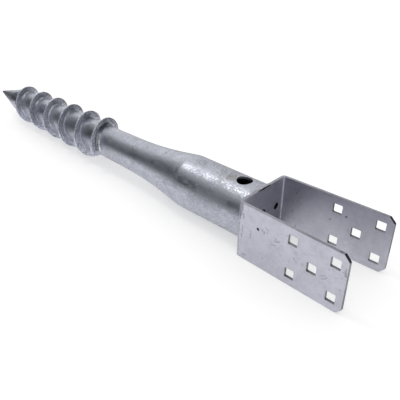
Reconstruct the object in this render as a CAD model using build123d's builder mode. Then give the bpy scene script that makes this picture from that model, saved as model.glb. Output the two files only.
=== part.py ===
from build123d import *
from math import acos, atan, atan2, cos, degrees, radians, sin
import os

os.makedirs("parts", exist_ok=True)

# A ground screw for a square timber post, lying on its side. All sizes are millimetres.
# The screw's axis is X: the point is at the far -X end and the bracket's legs reach to +X.
# The origin is the middle of the seat, the face inside the bracket that the post stands on.

# Bracket, folded from one strip of sheet
post_gap = 71.0           # between the legs at the seat
sheet = 3.5               # thickness of the strip
strip_margin = 0.4        # how far the strip's long edges stand past the tube, each side
leg_length = 126.0        # along a leg, from the seat to its end
leg_lean = 2.2            # degrees that each leg opens outward
bend_radius = 1.5         # inside both folds
corner_cut = 6.0          # slanting cut at the four leg corners
corner_round = 1.5        # rounding where a slanting cut meets an edge

# Square bolt holes, four at the corners of a rectangle and one in its middle, in each leg
bolt_hole = 10.5          # side of the square
bolt_hole_round = 0.8     # rounding in the square's corners
bolt_pitch_along = 47.0   # between holes, along a leg
bolt_pitch_across = 39.0  # between holes, across a leg
bolt_end_distance = 36.5  # from a leg's end back to the middle hole

# Round holes through the bracket's base, into the tube
drain_hole = 13.0
side_hole = 8.0
side_hole_place = 25.5    # each side hole, from the axis

# Tube, swaged down to a slimmer shaft and closed to a point
tube_diameter = 65.2
tube_wall = 2.5
tube_straight = 100.0     # full-size stretch, from the bracket to the swage
swage_length = 101.7
shoulder_reach = 8.0      # how far the swage leaves the full size, a tight bend
foot_reach = 56.0         # how far it runs out into the slimmer shaft, a long sweep
neck_diameter = 43.6      # at the foot of the swage
lower_length = 276.3      # gently tapered stretch that carries the flight
cone_base_diameter = 34.8
cone_length = 57.5
cone_blend = 30.0         # rounding where the point's cone begins
tip_radius = 1.5
bar_hole = 17.0           # crosswise hole for the turning bar, through both walls
bar_hole_place = 22.8     # from the bracket's outer face

# Flight, one strip wound edge-on around the lower stretch, right-handed
flight_pitch = 38.8
flight_turns = 5.63
flight_thickness = 3.0
flight_height_tip = 8.7   # how far it stands out at its lower end
flight_height_top = 10.3  # how far it stands out at its upper end
flight_from_tip = 62.5    # from the point to the flight's lower end
flight_start_turn = -124.0  # degrees from straight up to that end, about the axis
root_depth = 3.0          # how far the wound sections reach into the shaft before they are trimmed

# Weld beads
bracket_bead = 3.0        # legs of the bead around the tube at the bracket
flight_bead = 2.5         # legs of the bead along the root of the flight

bracket_width = tube_diameter + 2 * strip_margin
bolt_middle = leg_length - bolt_end_distance

tube_end_x = -sheet
swage_top_x = tube_end_x - tube_straight
swage_foot_x = swage_top_x - swage_length
cone_base_x = swage_foot_x - lower_length
tip_x = cone_base_x - cone_length
taper_slope = (neck_diameter - cone_base_diameter) / 2 / lower_length
cone_angle = atan2(cone_base_diameter / 2, cone_length)

flight_start_x = tip_x + flight_from_tip
flight_length = flight_turns * flight_pitch
flight_end_x = flight_start_x + flight_length


def lower_radius(x):
    """Radius of the gently tapered stretch at x, carried on past its ends."""
    return cone_base_diameter / 2 + (x - cone_base_x) * taper_slope


def half_shaft(inset):
    """Half outline of the shaft, drawn this far inside its outer surface, closed along the axis."""
    point_x = tip_x + inset / sin(cone_angle)
    round_x = point_x + tip_radius
    reach = Vector(cone_base_x - round_x, cone_base_diameter / 2 - inset)
    touch = atan2(reach.Y, reach.X) + acos(tip_radius / reach.length)
    neck = (swage_foot_x, neck_diameter / 2 - inset)
    base = (cone_base_x, cone_base_diameter / 2 - inset)
    touch_point = (round_x + tip_radius * cos(touch), tip_radius * sin(touch))
    shoulder = (swage_top_x, tube_diameter / 2 - inset)
    shoulder_end = (shoulder[0] - shoulder_reach, shoulder[1])
    foot_end = (neck[0] + foot_reach, neck[1] + foot_reach * taper_slope)
    rim = (tube_end_x, tube_diameter / 2 - inset)
    with BuildSketch() as outline:
        with BuildLine():
            Line((tube_end_x, 0), rim)
            Line(rim, shoulder)
            Bezier(shoulder, shoulder_end, foot_end, neck)
            FilletPolyline(neck, base, touch_point, radius=cone_blend)
            CenterArc((round_x, 0), tip_radius, degrees(touch), 180 - degrees(touch))
            Line((point_x, 0), (tube_end_x, 0))
        make_face()
    return outline.sketch


# The shaft's outer form, solid all through, which the flight and its bead are fitted to
with BuildPart() as shaft_form:
    add(half_shaft(0))
    revolve(axis=Axis.X)

with BuildPart() as shaft_tube:
    add(shaft_form.part)
    add(half_shaft(tube_wall))
    revolve(axis=Axis.X, mode=Mode.SUBTRACT)
    with BuildSketch():
        with Locations((tube_end_x - bar_hole_place, 0)):
            Circle(bar_hole / 2)
    extrude(amount=tube_diameter, both=True, mode=Mode.SUBTRACT)

# The bracket is folded along its inner line and thickened outward
leg_end_x = leg_length * cos(radians(leg_lean))
leg_end_y = post_gap / 2 + leg_length * sin(radians(leg_lean))
with BuildPart() as post_bracket:
    with BuildSketch():
        with BuildLine():
            FilletPolyline(
                (leg_end_x, leg_end_y),
                (0, post_gap / 2),
                (0, -post_gap / 2),
                (leg_end_x, -leg_end_y),
                radius=bend_radius,
            )
            offset(amount=sheet, side=Side.RIGHT)
        make_face()
    extrude(amount=bracket_width / 2, both=True)
    for side in (1, -1):
        along_leg = (cos(radians(leg_lean)), side * sin(radians(leg_lean)), 0)
        out_of_leg = (-sin(radians(leg_lean)), side * cos(radians(leg_lean)), 0)
        leg_face = Plane(origin=(0, side * post_gap / 2, 0), x_dir=along_leg, z_dir=out_of_leg)
        through_leg = Axis(leg_face.origin, leg_face.z_dir)
        leg_corners = post_bracket.edges().filter_by(through_leg).sort_by(Axis.X)[-2:]
        chamfer(leg_corners, corner_cut)
        cut_corners = post_bracket.edges().filter_by(through_leg).sort_by(Axis.X)[-4:]
        fillet(cut_corners, corner_round)
        with BuildSketch(leg_face):
            with Locations((bolt_middle, 0)):
                RectangleRounded(bolt_hole, bolt_hole, bolt_hole_round)
                with GridLocations(bolt_pitch_along, bolt_pitch_across, 2, 2):
                    RectangleRounded(bolt_hole, bolt_hole, bolt_hole_round)
        extrude(amount=sheet, mode=Mode.SUBTRACT)
    with BuildSketch(Plane.YZ):
        Circle(drain_hole / 2)
        with Locations((side_hole_place, 0), (-side_hole_place, 0)):
            Circle(side_hole / 2)
    extrude(amount=-sheet, mode=Mode.SUBTRACT)

# The bead around the tube stops flush with the edges of the strip
with BuildPart() as bracket_weld:
    with BuildSketch():
        with BuildLine():
            Polyline(
                (tube_end_x, tube_diameter / 2),
                (tube_end_x, tube_diameter / 2 + bracket_bead),
                (tube_end_x - bracket_bead, tube_diameter / 2),
                close=True,
            )
        make_face()
    revolve(axis=Axis.X)
    with BuildSketch(Plane.YZ.offset(tube_end_x)):
        Rectangle(post_gap + 2 * sheet, bracket_width)
    extrude(amount=-bracket_bead, mode=Mode.INTERSECT)

# The flight and its bead follow one path on the lower shaft, right-handed from the lower end
with BuildLine() as wound_line:
    Helix(
        pitch=flight_pitch,
        height=flight_length,
        radius=lower_radius(flight_start_x),
        center=(flight_start_x, 0, 0),
        direction=(1, 0, 0),
        cone_angle=degrees(atan(taper_slope)),
    )
drawn_start = wound_line.line @ 0
drawn_turn = degrees(atan2(-drawn_start.Y, drawn_start.Z))
path = wound_line.line.rotate(Axis.X, flight_start_turn - drawn_turn)
start_turn = radians(flight_start_turn)
start_out = (0, -sin(start_turn), cos(start_turn))
flight_section = Plane(origin=path @ 0, x_dir=start_out, z_dir=path % 0)

with BuildPart() as helical_flight:
    with BuildSketch(flight_section):
        with Locations((-root_depth, 0)):
            Rectangle(
                root_depth + 2 * flight_height_top,
                flight_thickness,
                align=(Align.MIN, Align.CENTER),
            )
    sweep(path=path, is_frenet=True)
    with BuildSketch():
        rim_start = lower_radius(flight_start_x) + flight_height_tip
        rim_end = lower_radius(flight_end_x) + flight_height_top
        with BuildLine():
            rim_slope = (rim_end - rim_start) / flight_length
            low_x = flight_start_x - flight_pitch
            high_x = flight_end_x + flight_pitch
            Polyline(
                (low_x, 0),
                (low_x, rim_start - rim_slope * flight_pitch),
                (high_x, rim_end + rim_slope * flight_pitch),
                (high_x, 0),
                close=True,
            )
        make_face()
    revolve(axis=Axis.X, mode=Mode.INTERSECT)
    add(shaft_form.part, mode=Mode.SUBTRACT)

with BuildPart() as flight_weld:
    with BuildSketch(flight_section):
        with BuildLine():
            Polyline(
                (-root_depth, -flight_thickness / 2),
                (flight_bead, -flight_thickness / 2),
                (-root_depth, -flight_thickness / 2 - flight_bead - root_depth),
                close=True,
            )
        make_face()
    sweep(path=path, is_frenet=True)
    add(shaft_form.part, mode=Mode.SUBTRACT)

shaft_tube.part.label = "shaft_tube"
export_step(shaft_tube.part, "parts/shaft_tube.step")
post_bracket.part.label = "post_bracket"
export_step(post_bracket.part, "parts/post_bracket.step")
bracket_weld.part.label = "bracket_weld"
export_step(bracket_weld.part, "parts/bracket_weld.step")
helical_flight.part.label = "helical_flight"
export_step(helical_flight.part, "parts/helical_flight.step")
flight_weld.part.label = "flight_weld"
export_step(flight_weld.part, "parts/flight_weld.step")
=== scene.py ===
# %% [markdown]
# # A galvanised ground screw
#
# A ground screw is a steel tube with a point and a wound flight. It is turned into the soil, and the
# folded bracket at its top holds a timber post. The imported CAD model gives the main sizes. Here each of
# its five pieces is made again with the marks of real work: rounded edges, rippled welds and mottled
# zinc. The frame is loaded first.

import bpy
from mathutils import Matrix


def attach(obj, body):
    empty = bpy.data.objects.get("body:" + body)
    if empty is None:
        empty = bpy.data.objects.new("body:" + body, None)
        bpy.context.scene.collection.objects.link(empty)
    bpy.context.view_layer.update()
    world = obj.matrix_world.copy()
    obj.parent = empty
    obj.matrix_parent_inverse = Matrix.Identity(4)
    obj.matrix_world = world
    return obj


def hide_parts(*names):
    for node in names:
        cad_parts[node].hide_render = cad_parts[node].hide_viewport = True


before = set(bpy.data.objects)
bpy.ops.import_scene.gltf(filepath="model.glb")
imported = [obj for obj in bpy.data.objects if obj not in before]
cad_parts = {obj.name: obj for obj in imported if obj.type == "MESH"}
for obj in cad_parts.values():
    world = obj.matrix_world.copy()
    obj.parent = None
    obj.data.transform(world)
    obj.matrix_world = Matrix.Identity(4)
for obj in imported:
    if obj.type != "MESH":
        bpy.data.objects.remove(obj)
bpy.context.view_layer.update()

# %% [markdown]
# ## Sizes
#
# The scene is in metres and the sizes are in millimetres, so each is multiplied by MM.
# X runs along the screw from the point to the bracket, Y across the bracket and Z upwards.

# %% Sizes of the real screw
from math import atan2, acos, cos, hypot, pi, radians, sin, tan

import bmesh
import bpy
import numpy
from mathutils import Vector

MM = 0.001

post_gap = 71.0 * MM
sheet = 3.5 * MM
bracket_width = 66.0 * MM
leg_length = 126.0 * MM
leg_lean = radians(2.2)
bend_radius = 1.5 * MM

tube_radius = 32.6 * MM
tube_wall = 2.5 * MM
tube_end_x = -sheet
swage_top_x = -103.5 * MM
swage_foot_x = -205.2 * MM
neck_radius = 21.8 * MM
cone_base_x = -481.5 * MM
cone_base_radius = 17.4 * MM
tip_x = -539.0 * MM
taper = (neck_radius - cone_base_radius) / (swage_foot_x - cone_base_x)

flight_pitch = 38.8 * MM
flight_turns = 5.63
flight_thickness = 3.0 * MM
flight_start_x = tip_x + 62.5 * MM
flight_start_turn = radians(-124.0)
flight_height_tip = 8.7 * MM
flight_height_top = 10.3 * MM
flight_length = flight_turns * flight_pitch
print("the flight is", round(flight_length / MM), "mm long")

# %% [markdown]
# ## Working by hand, in code
#
# An operator acts on whatever is selected, so a piece begins with nothing selected. In edit mode the
# parts to be changed are picked by their place, as one would pick them with a box on the screen.

# %% Helpers for selecting and editing
def deselect_all():
    """Leaves edit mode and selects nothing."""
    if bpy.context.object is not None and bpy.context.object.mode != "OBJECT":
        bpy.ops.object.mode_set(mode="OBJECT")
    bpy.ops.object.select_all(action="DESELECT")


def work_on(piece):
    """Selects one piece alone and makes it active."""
    deselect_all()
    piece.select_set(True)
    bpy.context.view_layer.objects.active = piece


def set_in_mesh(piece):
    """Moves a piece's place, turn and size into its mesh, so that its object sits at the origin."""
    work_on(piece)
    bpy.ops.object.transform_apply(location=True, rotation=True, scale=True)


def edit(piece):
    """Opens a piece in edit mode."""
    work_on(piece)
    bpy.ops.object.mode_set(mode="EDIT")


def pick(piece, kind, test):
    """In edit mode, selects the vertices, edges or faces whose middle passes the test."""
    bpy.context.tool_settings.mesh_select_mode = (kind == "VERT", kind == "EDGE", kind == "FACE")
    bpy.ops.mesh.select_all(action="DESELECT")
    shape = bmesh.from_edit_mesh(piece.data)
    picked = 0
    for part in {"VERT": shape.verts, "EDGE": shape.edges, "FACE": shape.faces}[kind]:
        corners = [part] if kind == "VERT" else list(part.verts)
        middle = sum((corner.co for corner in corners), Vector()) / len(corners)
        if test(middle):
            part.select_set(True)
            picked += 1
    shape.select_flush_mode()
    bmesh.update_edit_mesh(piece.data)
    return picked


# %% Helpers for modifiers, lines and reports
merge_within = 0.005 * MM


def apply_modifier(piece, kind, **settings):
    """Adds a modifier with these settings and applies it at once."""
    work_on(piece)
    bpy.ops.object.modifier_add(type=kind)
    modifier = piece.modifiers[-1]
    for name, value in settings.items():
        setattr(modifier, name, value)
    bpy.ops.object.modifier_apply(modifier=modifier.name)


def draw_line(name, points):
    """Draws a line of edges point by point: a plane is merged to one vertex, which is then extruded."""
    deselect_all()
    bpy.ops.mesh.primitive_plane_add(size=MM)
    line = bpy.context.object
    line.name = line.data.name = name
    bpy.ops.object.mode_set(mode="EDIT")
    bpy.context.tool_settings.mesh_select_mode = (True, False, False)
    bpy.ops.mesh.select_all(action="SELECT")
    bpy.ops.mesh.merge(type="CENTER")
    bpy.ops.transform.translate(value=points[0])
    for here, there in zip(points, points[1:]):
        step = Vector(there) - Vector(here)
        bpy.ops.mesh.extrude_region_move(TRANSFORM_OT_translate={"value": step})
    bpy.ops.object.mode_set(mode="OBJECT")
    return line


def close_up(piece):
    """Merges doubled vertices and turns every face outwards."""
    edit(piece)
    bpy.ops.mesh.select_all(action="SELECT")
    bpy.ops.mesh.remove_doubles(threshold=merge_within)
    bpy.ops.mesh.normals_make_consistent(inside=False)
    bpy.ops.object.mode_set(mode="OBJECT")


def report(piece):
    """Prints a piece's size in millimetres and its number of faces."""
    places = [vertex.co for vertex in piece.data.vertices]
    low = [round(min(place[axis] for place in places) / MM, 2) for axis in range(3)]
    high = [round(max(place[axis] for place in places) / MM, 2) for axis in range(3)]
    print(piece.name, low, high, len(piece.data.polygons), "faces")


# %% [markdown]
# ## The bracket
#
# The bracket is one strip of 3.5 mm steel, cut, punched and folded in a press. It could be three boxes
# stuck together, but folding it as the press does gives true bends. A flat leg is laid down first.
# Its inner edge is spun round the first bend, extruded along the seat, spun round the second bend and
# extruded again. The sheet is the bracket's inside face, and gets its thickness later.

# %% Fold the strip
bend_turn = pi / 2 - leg_lean
bend_tangent = bend_radius * tan(bend_turn / 2)
leg_flat = leg_length - bend_tangent
bend_middle_y = post_gap / 2 - bend_tangent
bend_steps = 6
near_leg_way = Vector((cos(leg_lean), -sin(leg_lean), 0))
far_leg_way = Vector((cos(leg_lean), sin(leg_lean), 0))

deselect_all()
bpy.ops.mesh.primitive_plane_add(
    size=1,
    location=Vector((0, -post_gap / 2, 0)) + near_leg_way * (bend_tangent + leg_flat / 2),
    rotation=(pi / 2, 0, -leg_lean),
)
bracket = bpy.context.object
bracket.name = bracket.data.name = "folded_bracket"
bracket.scale = (leg_flat, bracket_width, 1)
set_in_mesh(bracket)

edit(bracket)
pick(bracket, "EDGE", lambda middle: middle.x < bend_radius)
bpy.ops.mesh.spin(
    steps=bend_steps, angle=bend_turn, center=(bend_radius, -bend_middle_y, 0), axis=(0, 0, 1)
)
bpy.ops.mesh.extrude_region_move(TRANSFORM_OT_translate={"value": (0, 2 * bend_middle_y, 0)})
bpy.ops.mesh.spin(
    steps=bend_steps, angle=bend_turn, center=(bend_radius, bend_middle_y, 0), axis=(0, 0, 1)
)
bpy.ops.mesh.extrude_region_move(TRANSFORM_OT_translate={"value": far_leg_way * leg_flat})
bpy.ops.object.mode_set(mode="OBJECT")
report(bracket)

# %% [markdown]
# The four leg corners are cut at a slant, and the cuts run into the edges with a small rounding.
# Beveling a corner's vertex makes such a cut, and beveling the two new vertices rounds it.

# %% Cut the leg corners
corner_cut = 6.0 * MM
corner_round = 1.5 * MM
leg_end_x = leg_length * cos(leg_lean)
pick_margin = 1.0 * MM

edit(bracket)
bpy.ops.mesh.select_all(action="SELECT")
bpy.ops.mesh.remove_doubles(threshold=merge_within)
picked = pick(bracket, "VERT", lambda place: place.x > leg_end_x - pick_margin)
bpy.ops.mesh.bevel(offset=corner_cut, segments=1, affect="VERTICES")
rounded = pick(bracket, "VERT", lambda place: place.x > leg_end_x - corner_cut - pick_margin)
bpy.ops.mesh.bevel(offset=corner_round * tan(pi / 8), segments=4, affect="VERTICES")
bpy.ops.object.mode_set(mode="OBJECT")
print("cut", picked, "corners and rounded", rounded, "ends of the cuts")
report(bracket)

# %% [markdown]
# Solidify gives the sheet its thickness on the outside, so that the bends grow from 1.5 mm inside
# to 5 mm outside. The holes are punched with one tool: ten square pins for the coach bolts and three
# round ones, joined and taken away with a Boolean. One pin is shaped and then copied to each place.

# %% Thicken the sheet
apply_modifier(bracket, "SOLIDIFY", thickness=sheet, offset=1.0, use_even_offset=True)
close_up(bracket)
report(bracket)

# %% Shape one square pin
bolt_hole = 10.5 * MM
bolt_hole_round = 0.8 * MM
pin_depth = 14 * MM
near_to = 0.05 * MM

deselect_all()
bpy.ops.mesh.primitive_cube_add(size=1)
first_pin = bpy.context.object
first_pin.scale = (bolt_hole, pin_depth, bolt_hole)
set_in_mesh(first_pin)
edit(first_pin)
at_side = bolt_hole / 2 - near_to
pick(first_pin, "EDGE", lambda middle: abs(middle.x) > at_side and abs(middle.z) > at_side)
bpy.ops.mesh.bevel(offset=bolt_hole_round, segments=3, affect="EDGES")
bpy.ops.object.mode_set(mode="OBJECT")
report(first_pin)

# %% Copy the pin to the ten bolt holes
bolt_middle = 89.5 * MM
bolt_along = 47.0 * MM
bolt_across = 39.0 * MM

bolt_places = [(bolt_middle, 0)]
for along_step in (-1, 1):
    for across_step in (-1, 1):
        bolt_places.append((bolt_middle + along_step * bolt_along / 2, across_step * bolt_across / 2))

pins = []
for side, way in ((-1, near_leg_way), (1, far_leg_way)):
    for along, height in bolt_places:
        pin = first_pin.copy()
        pin.data = first_pin.data.copy()
        bpy.context.scene.collection.objects.link(pin)
        pin.rotation_euler.z = side * leg_lean
        pin.location = Vector((0, side * (post_gap + sheet) / 2, height)) + way * along
        pins.append(pin)
bpy.data.objects.remove(first_pin)
print(len(pins), "square pins")

# %% Add the round pins and punch the holes
drain_hole = 13.0 * MM
side_hole = 8.0 * MM
side_hole_place = 25.5 * MM
round_holes = [(0, drain_hole), (side_hole_place, side_hole), (-side_hole_place, side_hole)]

for place, width in round_holes:
    deselect_all()
    bpy.ops.mesh.primitive_cylinder_add(
        vertices=48, radius=width / 2, depth=pin_depth, location=(0, place, 0), rotation=(0, pi / 2, 0)
    )
    pins.append(bpy.context.object)


def join(pieces):
    """Joins several pieces into the first, with their places in its mesh."""
    for piece in pieces:
        set_in_mesh(piece)
    deselect_all()
    for piece in pieces:
        piece.select_set(True)
    bpy.context.view_layer.objects.active = pieces[0]
    bpy.ops.object.join()
    return pieces[0]


def cut_away(piece, tool):
    """Takes the tool's volume out of the piece and deletes the tool."""
    apply_modifier(piece, "BOOLEAN", operation="DIFFERENCE", solver="EXACT", object=tool)
    bpy.data.objects.remove(tool)


cut_away(bracket, join(pins))
report(bracket)

# %% [markdown]
# The strip's long edges are a little duller than its rolled faces. The hole walls and the leg ends,
# which the press sheared, are painted darker as shade. The slanting corner cuts are nearly black, partly
# their own dark and partly painted shade, and the base's hole walls are painted nearly black as shade.
# Each kind gets a material slot while it can still be picked by its place: the middle of a sheared face
# lies inside the thickness of the sheet.

# %% Tell the faces apart
face_slot, edge_slot, side_slot, dark_slot = 0, 1, 2, 3
skin_depth = 0.2 * MM


def add_slots(piece, count):
    """Gives the piece this many empty material slots."""
    work_on(piece)
    for _ in range(count):
        bpy.ops.object.material_slot_add()


def leg_place(place):
    """A place's distance along its leg, and its depth in the leg's sheet from the inside face."""
    out = abs(place.y) - post_gap / 2
    return place.x * cos(leg_lean) + out * sin(leg_lean), out * cos(leg_lean) - place.x * sin(leg_lean)


def inside_sheet(place):
    """Whether a place lies between the two faces of the sheet, in a leg or in the base."""
    depth = leg_place(place)[1]
    in_leg = skin_depth < depth < sheet - skin_depth
    return in_leg or skin_depth < -place.x < sheet - skin_depth


def at_bolt_hole(place):
    """Whether a place lies on the wall or on the rim of a square hole."""
    along, depth = leg_place(place)
    reach_in = bolt_hole / 2 + near_to
    return -near_to < depth < sheet + near_to and any(
        abs(along - middle) < reach_in and abs(place.z - height) < reach_in for middle, height in bolt_places
    )


def at_round_hole(place):
    """Whether a place lies on the wall or on the rim of a round hole in the base."""
    return -sheet - near_to < place.x < near_to and any(
        hypot(place.y - middle, place.z) < width / 2 + near_to for middle, width in round_holes
    )


def on_long_edge(place):
    """Whether a face's middle lies on the strip's long edge."""
    return abs(place.z) > bracket_width / 2 - near_to


def on_sheared_face(place):
    """Whether a face's middle lies on a leg's end or on a square hole's wall."""
    return inside_sheet(place) and (leg_place(place)[0] > leg_length - near_to or at_bolt_hole(place))


def on_dark_face(place):
    """Whether a face's middle lies on a slanting corner cut or on a round hole's wall."""
    along = leg_place(place)[0]
    cut_line = leg_length + bracket_width / 2 - corner_cut
    on_corner = along + abs(place.z) > cut_line - pick_margin and along < leg_length - near_to
    return inside_sheet(place) and (on_corner or at_round_hole(place))


# %% Put the faces in their slots
hole_rim_round = 0.4 * MM

add_slots(bracket, 4)
edit(bracket)
for test, slot in ((on_long_edge, side_slot), (on_sheared_face, edge_slot), (on_dark_face, dark_slot)):
    picked = pick(bracket, "FACE", test)
    bracket.active_material_index = slot
    bpy.ops.object.material_slot_assign()
    print(picked, "faces in slot", slot)
rim_edges = pick(
    bracket, "EDGE", lambda place: (at_bolt_hole(place) or at_round_hole(place)) and not inside_sheet(place)
)
bpy.ops.mesh.bevel(offset=hole_rim_round, segments=2, affect="EDGES", material=face_slot)
bpy.ops.object.mode_set(mode="OBJECT")
print(rim_edges, "rim edges")

# %% [markdown]
# Sheared and dipped steel has no knife edges. A bevel on every sharp edge catches the light as zinc
# does, and gets the edge slot, whose darker colour on the bracket and the tube paints shade along the
# edges. Weighted normals keep the large faces flat while the bevels shade round.


# %% Round the bracket's edges
def soften_edges(piece, width):
    """Bevels the sharp edges, gives the bevels the edge slot, and shades flats flat and bends round."""
    apply_modifier(
        piece,
        "BEVEL",
        width=width,
        segments=2,
        limit_method="ANGLE",
        angle_limit=radians(40),
        material=edge_slot,
    )
    bpy.ops.object.shade_smooth_by_angle(angle=radians(32))
    apply_modifier(piece, "WEIGHTED_NORMAL", keep_sharp=True)


soften_edges(bracket, width=0.5 * MM)
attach(bracket, "root")
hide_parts("post_bracket")
report(bracket)

# %% [markdown]
# ## The tube
#
# The shaft is one tube, pressed down to a slimmer neck and closed to a point. That is a turned shape,
# so half its outline is drawn and spun round the X axis, as on a lathe. The outline runs from the
# cavity's end, along the inside to the rim, and back along the outside to the point. The swage is one
# Bezier curve: a short handle at its shoulder makes a tight bend, and a long one at its foot makes the
# sweep into the slimmer shaft.


# %% Draw the tube's outline
def bezier(start, first, second, end, steps):
    """Points on a Bezier curve after its start, as (x, radius)."""
    made = []
    for count in range(1, steps + 1):
        t = count / steps
        weights = ((1 - t) ** 3, 3 * t * (1 - t) ** 2, 3 * t * t * (1 - t), t**3)
        knots = (start, first, second, end)
        made.append(tuple(sum(w * knot[axis] for w, knot in zip(weights, knots)) for axis in (0, 1)))
    return made


def straight(start, end, steps):
    """Evenly spaced points on a straight run after its start, as (x, radius)."""
    return [
        tuple(start[axis] + (end[axis] - start[axis]) * count / steps for axis in (0, 1))
        for count in range(1, steps + 1)
    ]


shoulder = (swage_top_x, tube_radius)
neck = (swage_foot_x, neck_radius)
shoulder_reach = 8.0 * MM
foot_reach = 56.0 * MM
swage = bezier(
    shoulder,
    (shoulder[0] - shoulder_reach, shoulder[1]),
    (neck[0] + foot_reach, neck[1] + foot_reach * taper),
    neck,
    steps=30,
)
print("the swage is drawn with", len(swage), "points")

# %% [markdown]
# The cone's sides touch a small ball at the tip. Where the cone meets the taper there would be an edge,
# which swaging rounds, so an arc of 30 mm radius joins the two. One Bezier curve stands for that arc:
# handles of 4/3 times the tangent of a quarter of its turn, times its radius, follow it closely.

# %% Draw the point
tip_radius = 1.5 * MM
cone_blend = 30.0 * MM
tip_middle_x = tip_x + tip_radius
reach = hypot(cone_base_x - tip_middle_x, cone_base_radius)
tip_touch = atan2(cone_base_radius, cone_base_x - tip_middle_x) + acos(tip_radius / reach)
touch = (tip_middle_x + tip_radius * cos(tip_touch), tip_radius * sin(tip_touch))
cone_slope = atan2(cone_base_radius - touch[1], cone_base_x - touch[0])
blend_turn = cone_slope - atan2(taper, 1)
blend_reach = cone_blend * tan(blend_turn / 2)
blend_handle = 4 / 3 * tan(blend_turn / 4) * cone_blend
blend_start = (cone_base_x + blend_reach, cone_base_radius + blend_reach * taper)
blend_end = (
    cone_base_x - blend_reach * cos(cone_slope),
    cone_base_radius - blend_reach * sin(cone_slope),
)
blend = bezier(
    blend_start,
    (blend_start[0] - blend_handle, blend_start[1] - blend_handle * taper),
    (blend_end[0] + blend_handle * cos(cone_slope), blend_end[1] + blend_handle * sin(cone_slope)),
    blend_end,
    steps=8,
)
tip_steps = 6
tip_arc = [
    (tip_middle_x + tip_radius * cos(angle), tip_radius * sin(angle))
    for angle in [tip_touch + (pi - tip_touch) * count / tip_steps for count in range(1, tip_steps + 1)]
]
print("the cone's sides slope", round(cone_slope / radians(1), 1), "degrees")

# %% Spin the outline
bar_hole = 18.0 * MM
bar_hole_x = tube_end_x - 22.8 * MM
hole_zone_x = -48 * MM
inner_tip = (-530.2 * MM, 0.0)

rim = (tube_end_x, tube_radius)
outside = [rim]
outside += straight(rim, (hole_zone_x, tube_radius), steps=12)
outside += straight((hole_zone_x, tube_radius), shoulder, steps=6)
outside += swage
outside += straight(neck, blend_start, steps=14)
outside += blend
outside += straight(blend_end, touch, steps=9)
outside += tip_arc
inside = [inner_tip, (blend_end[0], blend_end[1] - tube_wall), (neck[0], neck[1] - tube_wall)]
inside += [(x, radius - tube_wall) for x, radius in swage[-2::-3]]
inside += [(swage_top_x, tube_radius - tube_wall), (tube_end_x, tube_radius - tube_wall)]

tube = draw_line("swaged_tube", [(x, 0, radius) for x, radius in inside + outside])
edit(tube)
bpy.ops.mesh.select_all(action="SELECT")
bpy.ops.mesh.spin(steps=144, angle=2 * pi, center=(0, 0, 0), axis=(1, 0, 0))
close_up(tube)
report(tube)

# %% [markdown]
# A steel bar goes through the tube, just below the bracket, to turn the screw into the ground. Its hole
# is drilled through both walls with a cylinder, and its rim gets a narrow bevel too.

# %% Drill the hole for the turning bar
deselect_all()
bpy.ops.mesh.primitive_cylinder_add(
    vertices=64, radius=bar_hole / 2, depth=3 * tube_radius, location=(bar_hole_x, 0, 0)
)
drill = bpy.context.object
set_in_mesh(drill)
cut_away(tube, drill)
add_slots(tube, 2)
soften_edges(tube, width=0.45 * MM)
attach(tube, "root")
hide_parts("shaft_tube")
report(tube)

# %% [markdown]
# ## The flight
#
# The flight is a strip of 3 mm steel, wound on edge and welded round the lower tube. Its section is
# drawn once, with the rim's corners rounded as zinc leaves them. The Screw modifier winds it at the
# pitch of the real flight. Only then is it fitted, because the tube tapers and the strip stands a
# little higher towards the bracket: the root follows the tube and the rim its own line.


# %% Draw the flight's section
def tube_at(x):
    """Radius of the tapered stretch at x."""
    return cone_base_radius + (x - cone_base_x) * taper


root_tuck = 2.0 * MM
rim_round = 0.9 * MM
rim_steps = 4
face_rows = 4
flight_mean_radius = 25 * MM
half_thick = flight_thickness / 2 / cos(atan2(flight_pitch, 2 * pi * flight_mean_radius))
root_start = tube_at(flight_start_x) - root_tuck
rim_start = tube_at(flight_start_x) + flight_height_tip

face_heights = [
    root_start + (rim_start - rim_round - root_start) * row / face_rows for row in range(face_rows + 1)
]
section = [(-half_thick, height) for height in face_heights]
for side in (-1, 1):
    corner_turns = [pi / 2 * count / rim_steps for count in range(1, rim_steps + 1)]
    corner = [
        (side * (half_thick - rim_round * (1 - cos(turn))), rim_start - rim_round * (1 - sin(turn)))
        for turn in corner_turns
    ]
    section += corner if side < 0 else corner[::-1]
section += [(half_thick, height) for height in face_heights[::-1]]
section.append(section[0])
print("the flight's section has", len(section) - 1, "corners")


# %% Wind the section into a screw
def wind(name, section, steps_a_turn):
    """Draws a closed section above the axis, winds it along the flight's screw and closes its ends."""
    strip = draw_line(name, [(flight_start_x + x, 0, height) for x, height in section])
    close_up(strip)
    steps = round(steps_a_turn * flight_turns)
    apply_modifier(
        strip,
        "SCREW",
        axis="X",
        angle=2 * pi * flight_turns,
        screw_offset=flight_length,
        iterations=1,
        steps=steps,
        render_steps=steps,
    )
    strip.rotation_euler.x = flight_start_turn
    set_in_mesh(strip)
    edit(strip)
    bpy.ops.mesh.select_all(action="SELECT")
    bpy.ops.mesh.fill_holes(sides=0)
    close_up(strip)
    return strip


flight = wind("wound_flight", section, steps_a_turn=72)
report(flight)

# %% [markdown]
# Winding and welding leave the strip a little uneven, so its rim also wanders by a few tenths of a
# millimetre. The waves are plain sines along the winding, the same each time the script runs.


# %% Follow the tube's surface
profile_x, profile_radius = zip(*sorted(outside[:-1]))


def tube_surface(x):
    """Radius of the tube's outside at x."""
    return float(numpy.interp(x, profile_x, profile_radius))


def winding(place):
    """How far a place has turned along the flight, and its distance along X from the strip's middle."""
    about = (place[0] - flight_start_x) / flight_pitch * 2 * pi
    turn = atan2(-place[1], place[2]) - flight_start_turn
    turn += 2 * pi * round((about - turn) / (2 * pi))
    return turn, place[0] - flight_start_x - turn / (2 * pi) * flight_pitch


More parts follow.
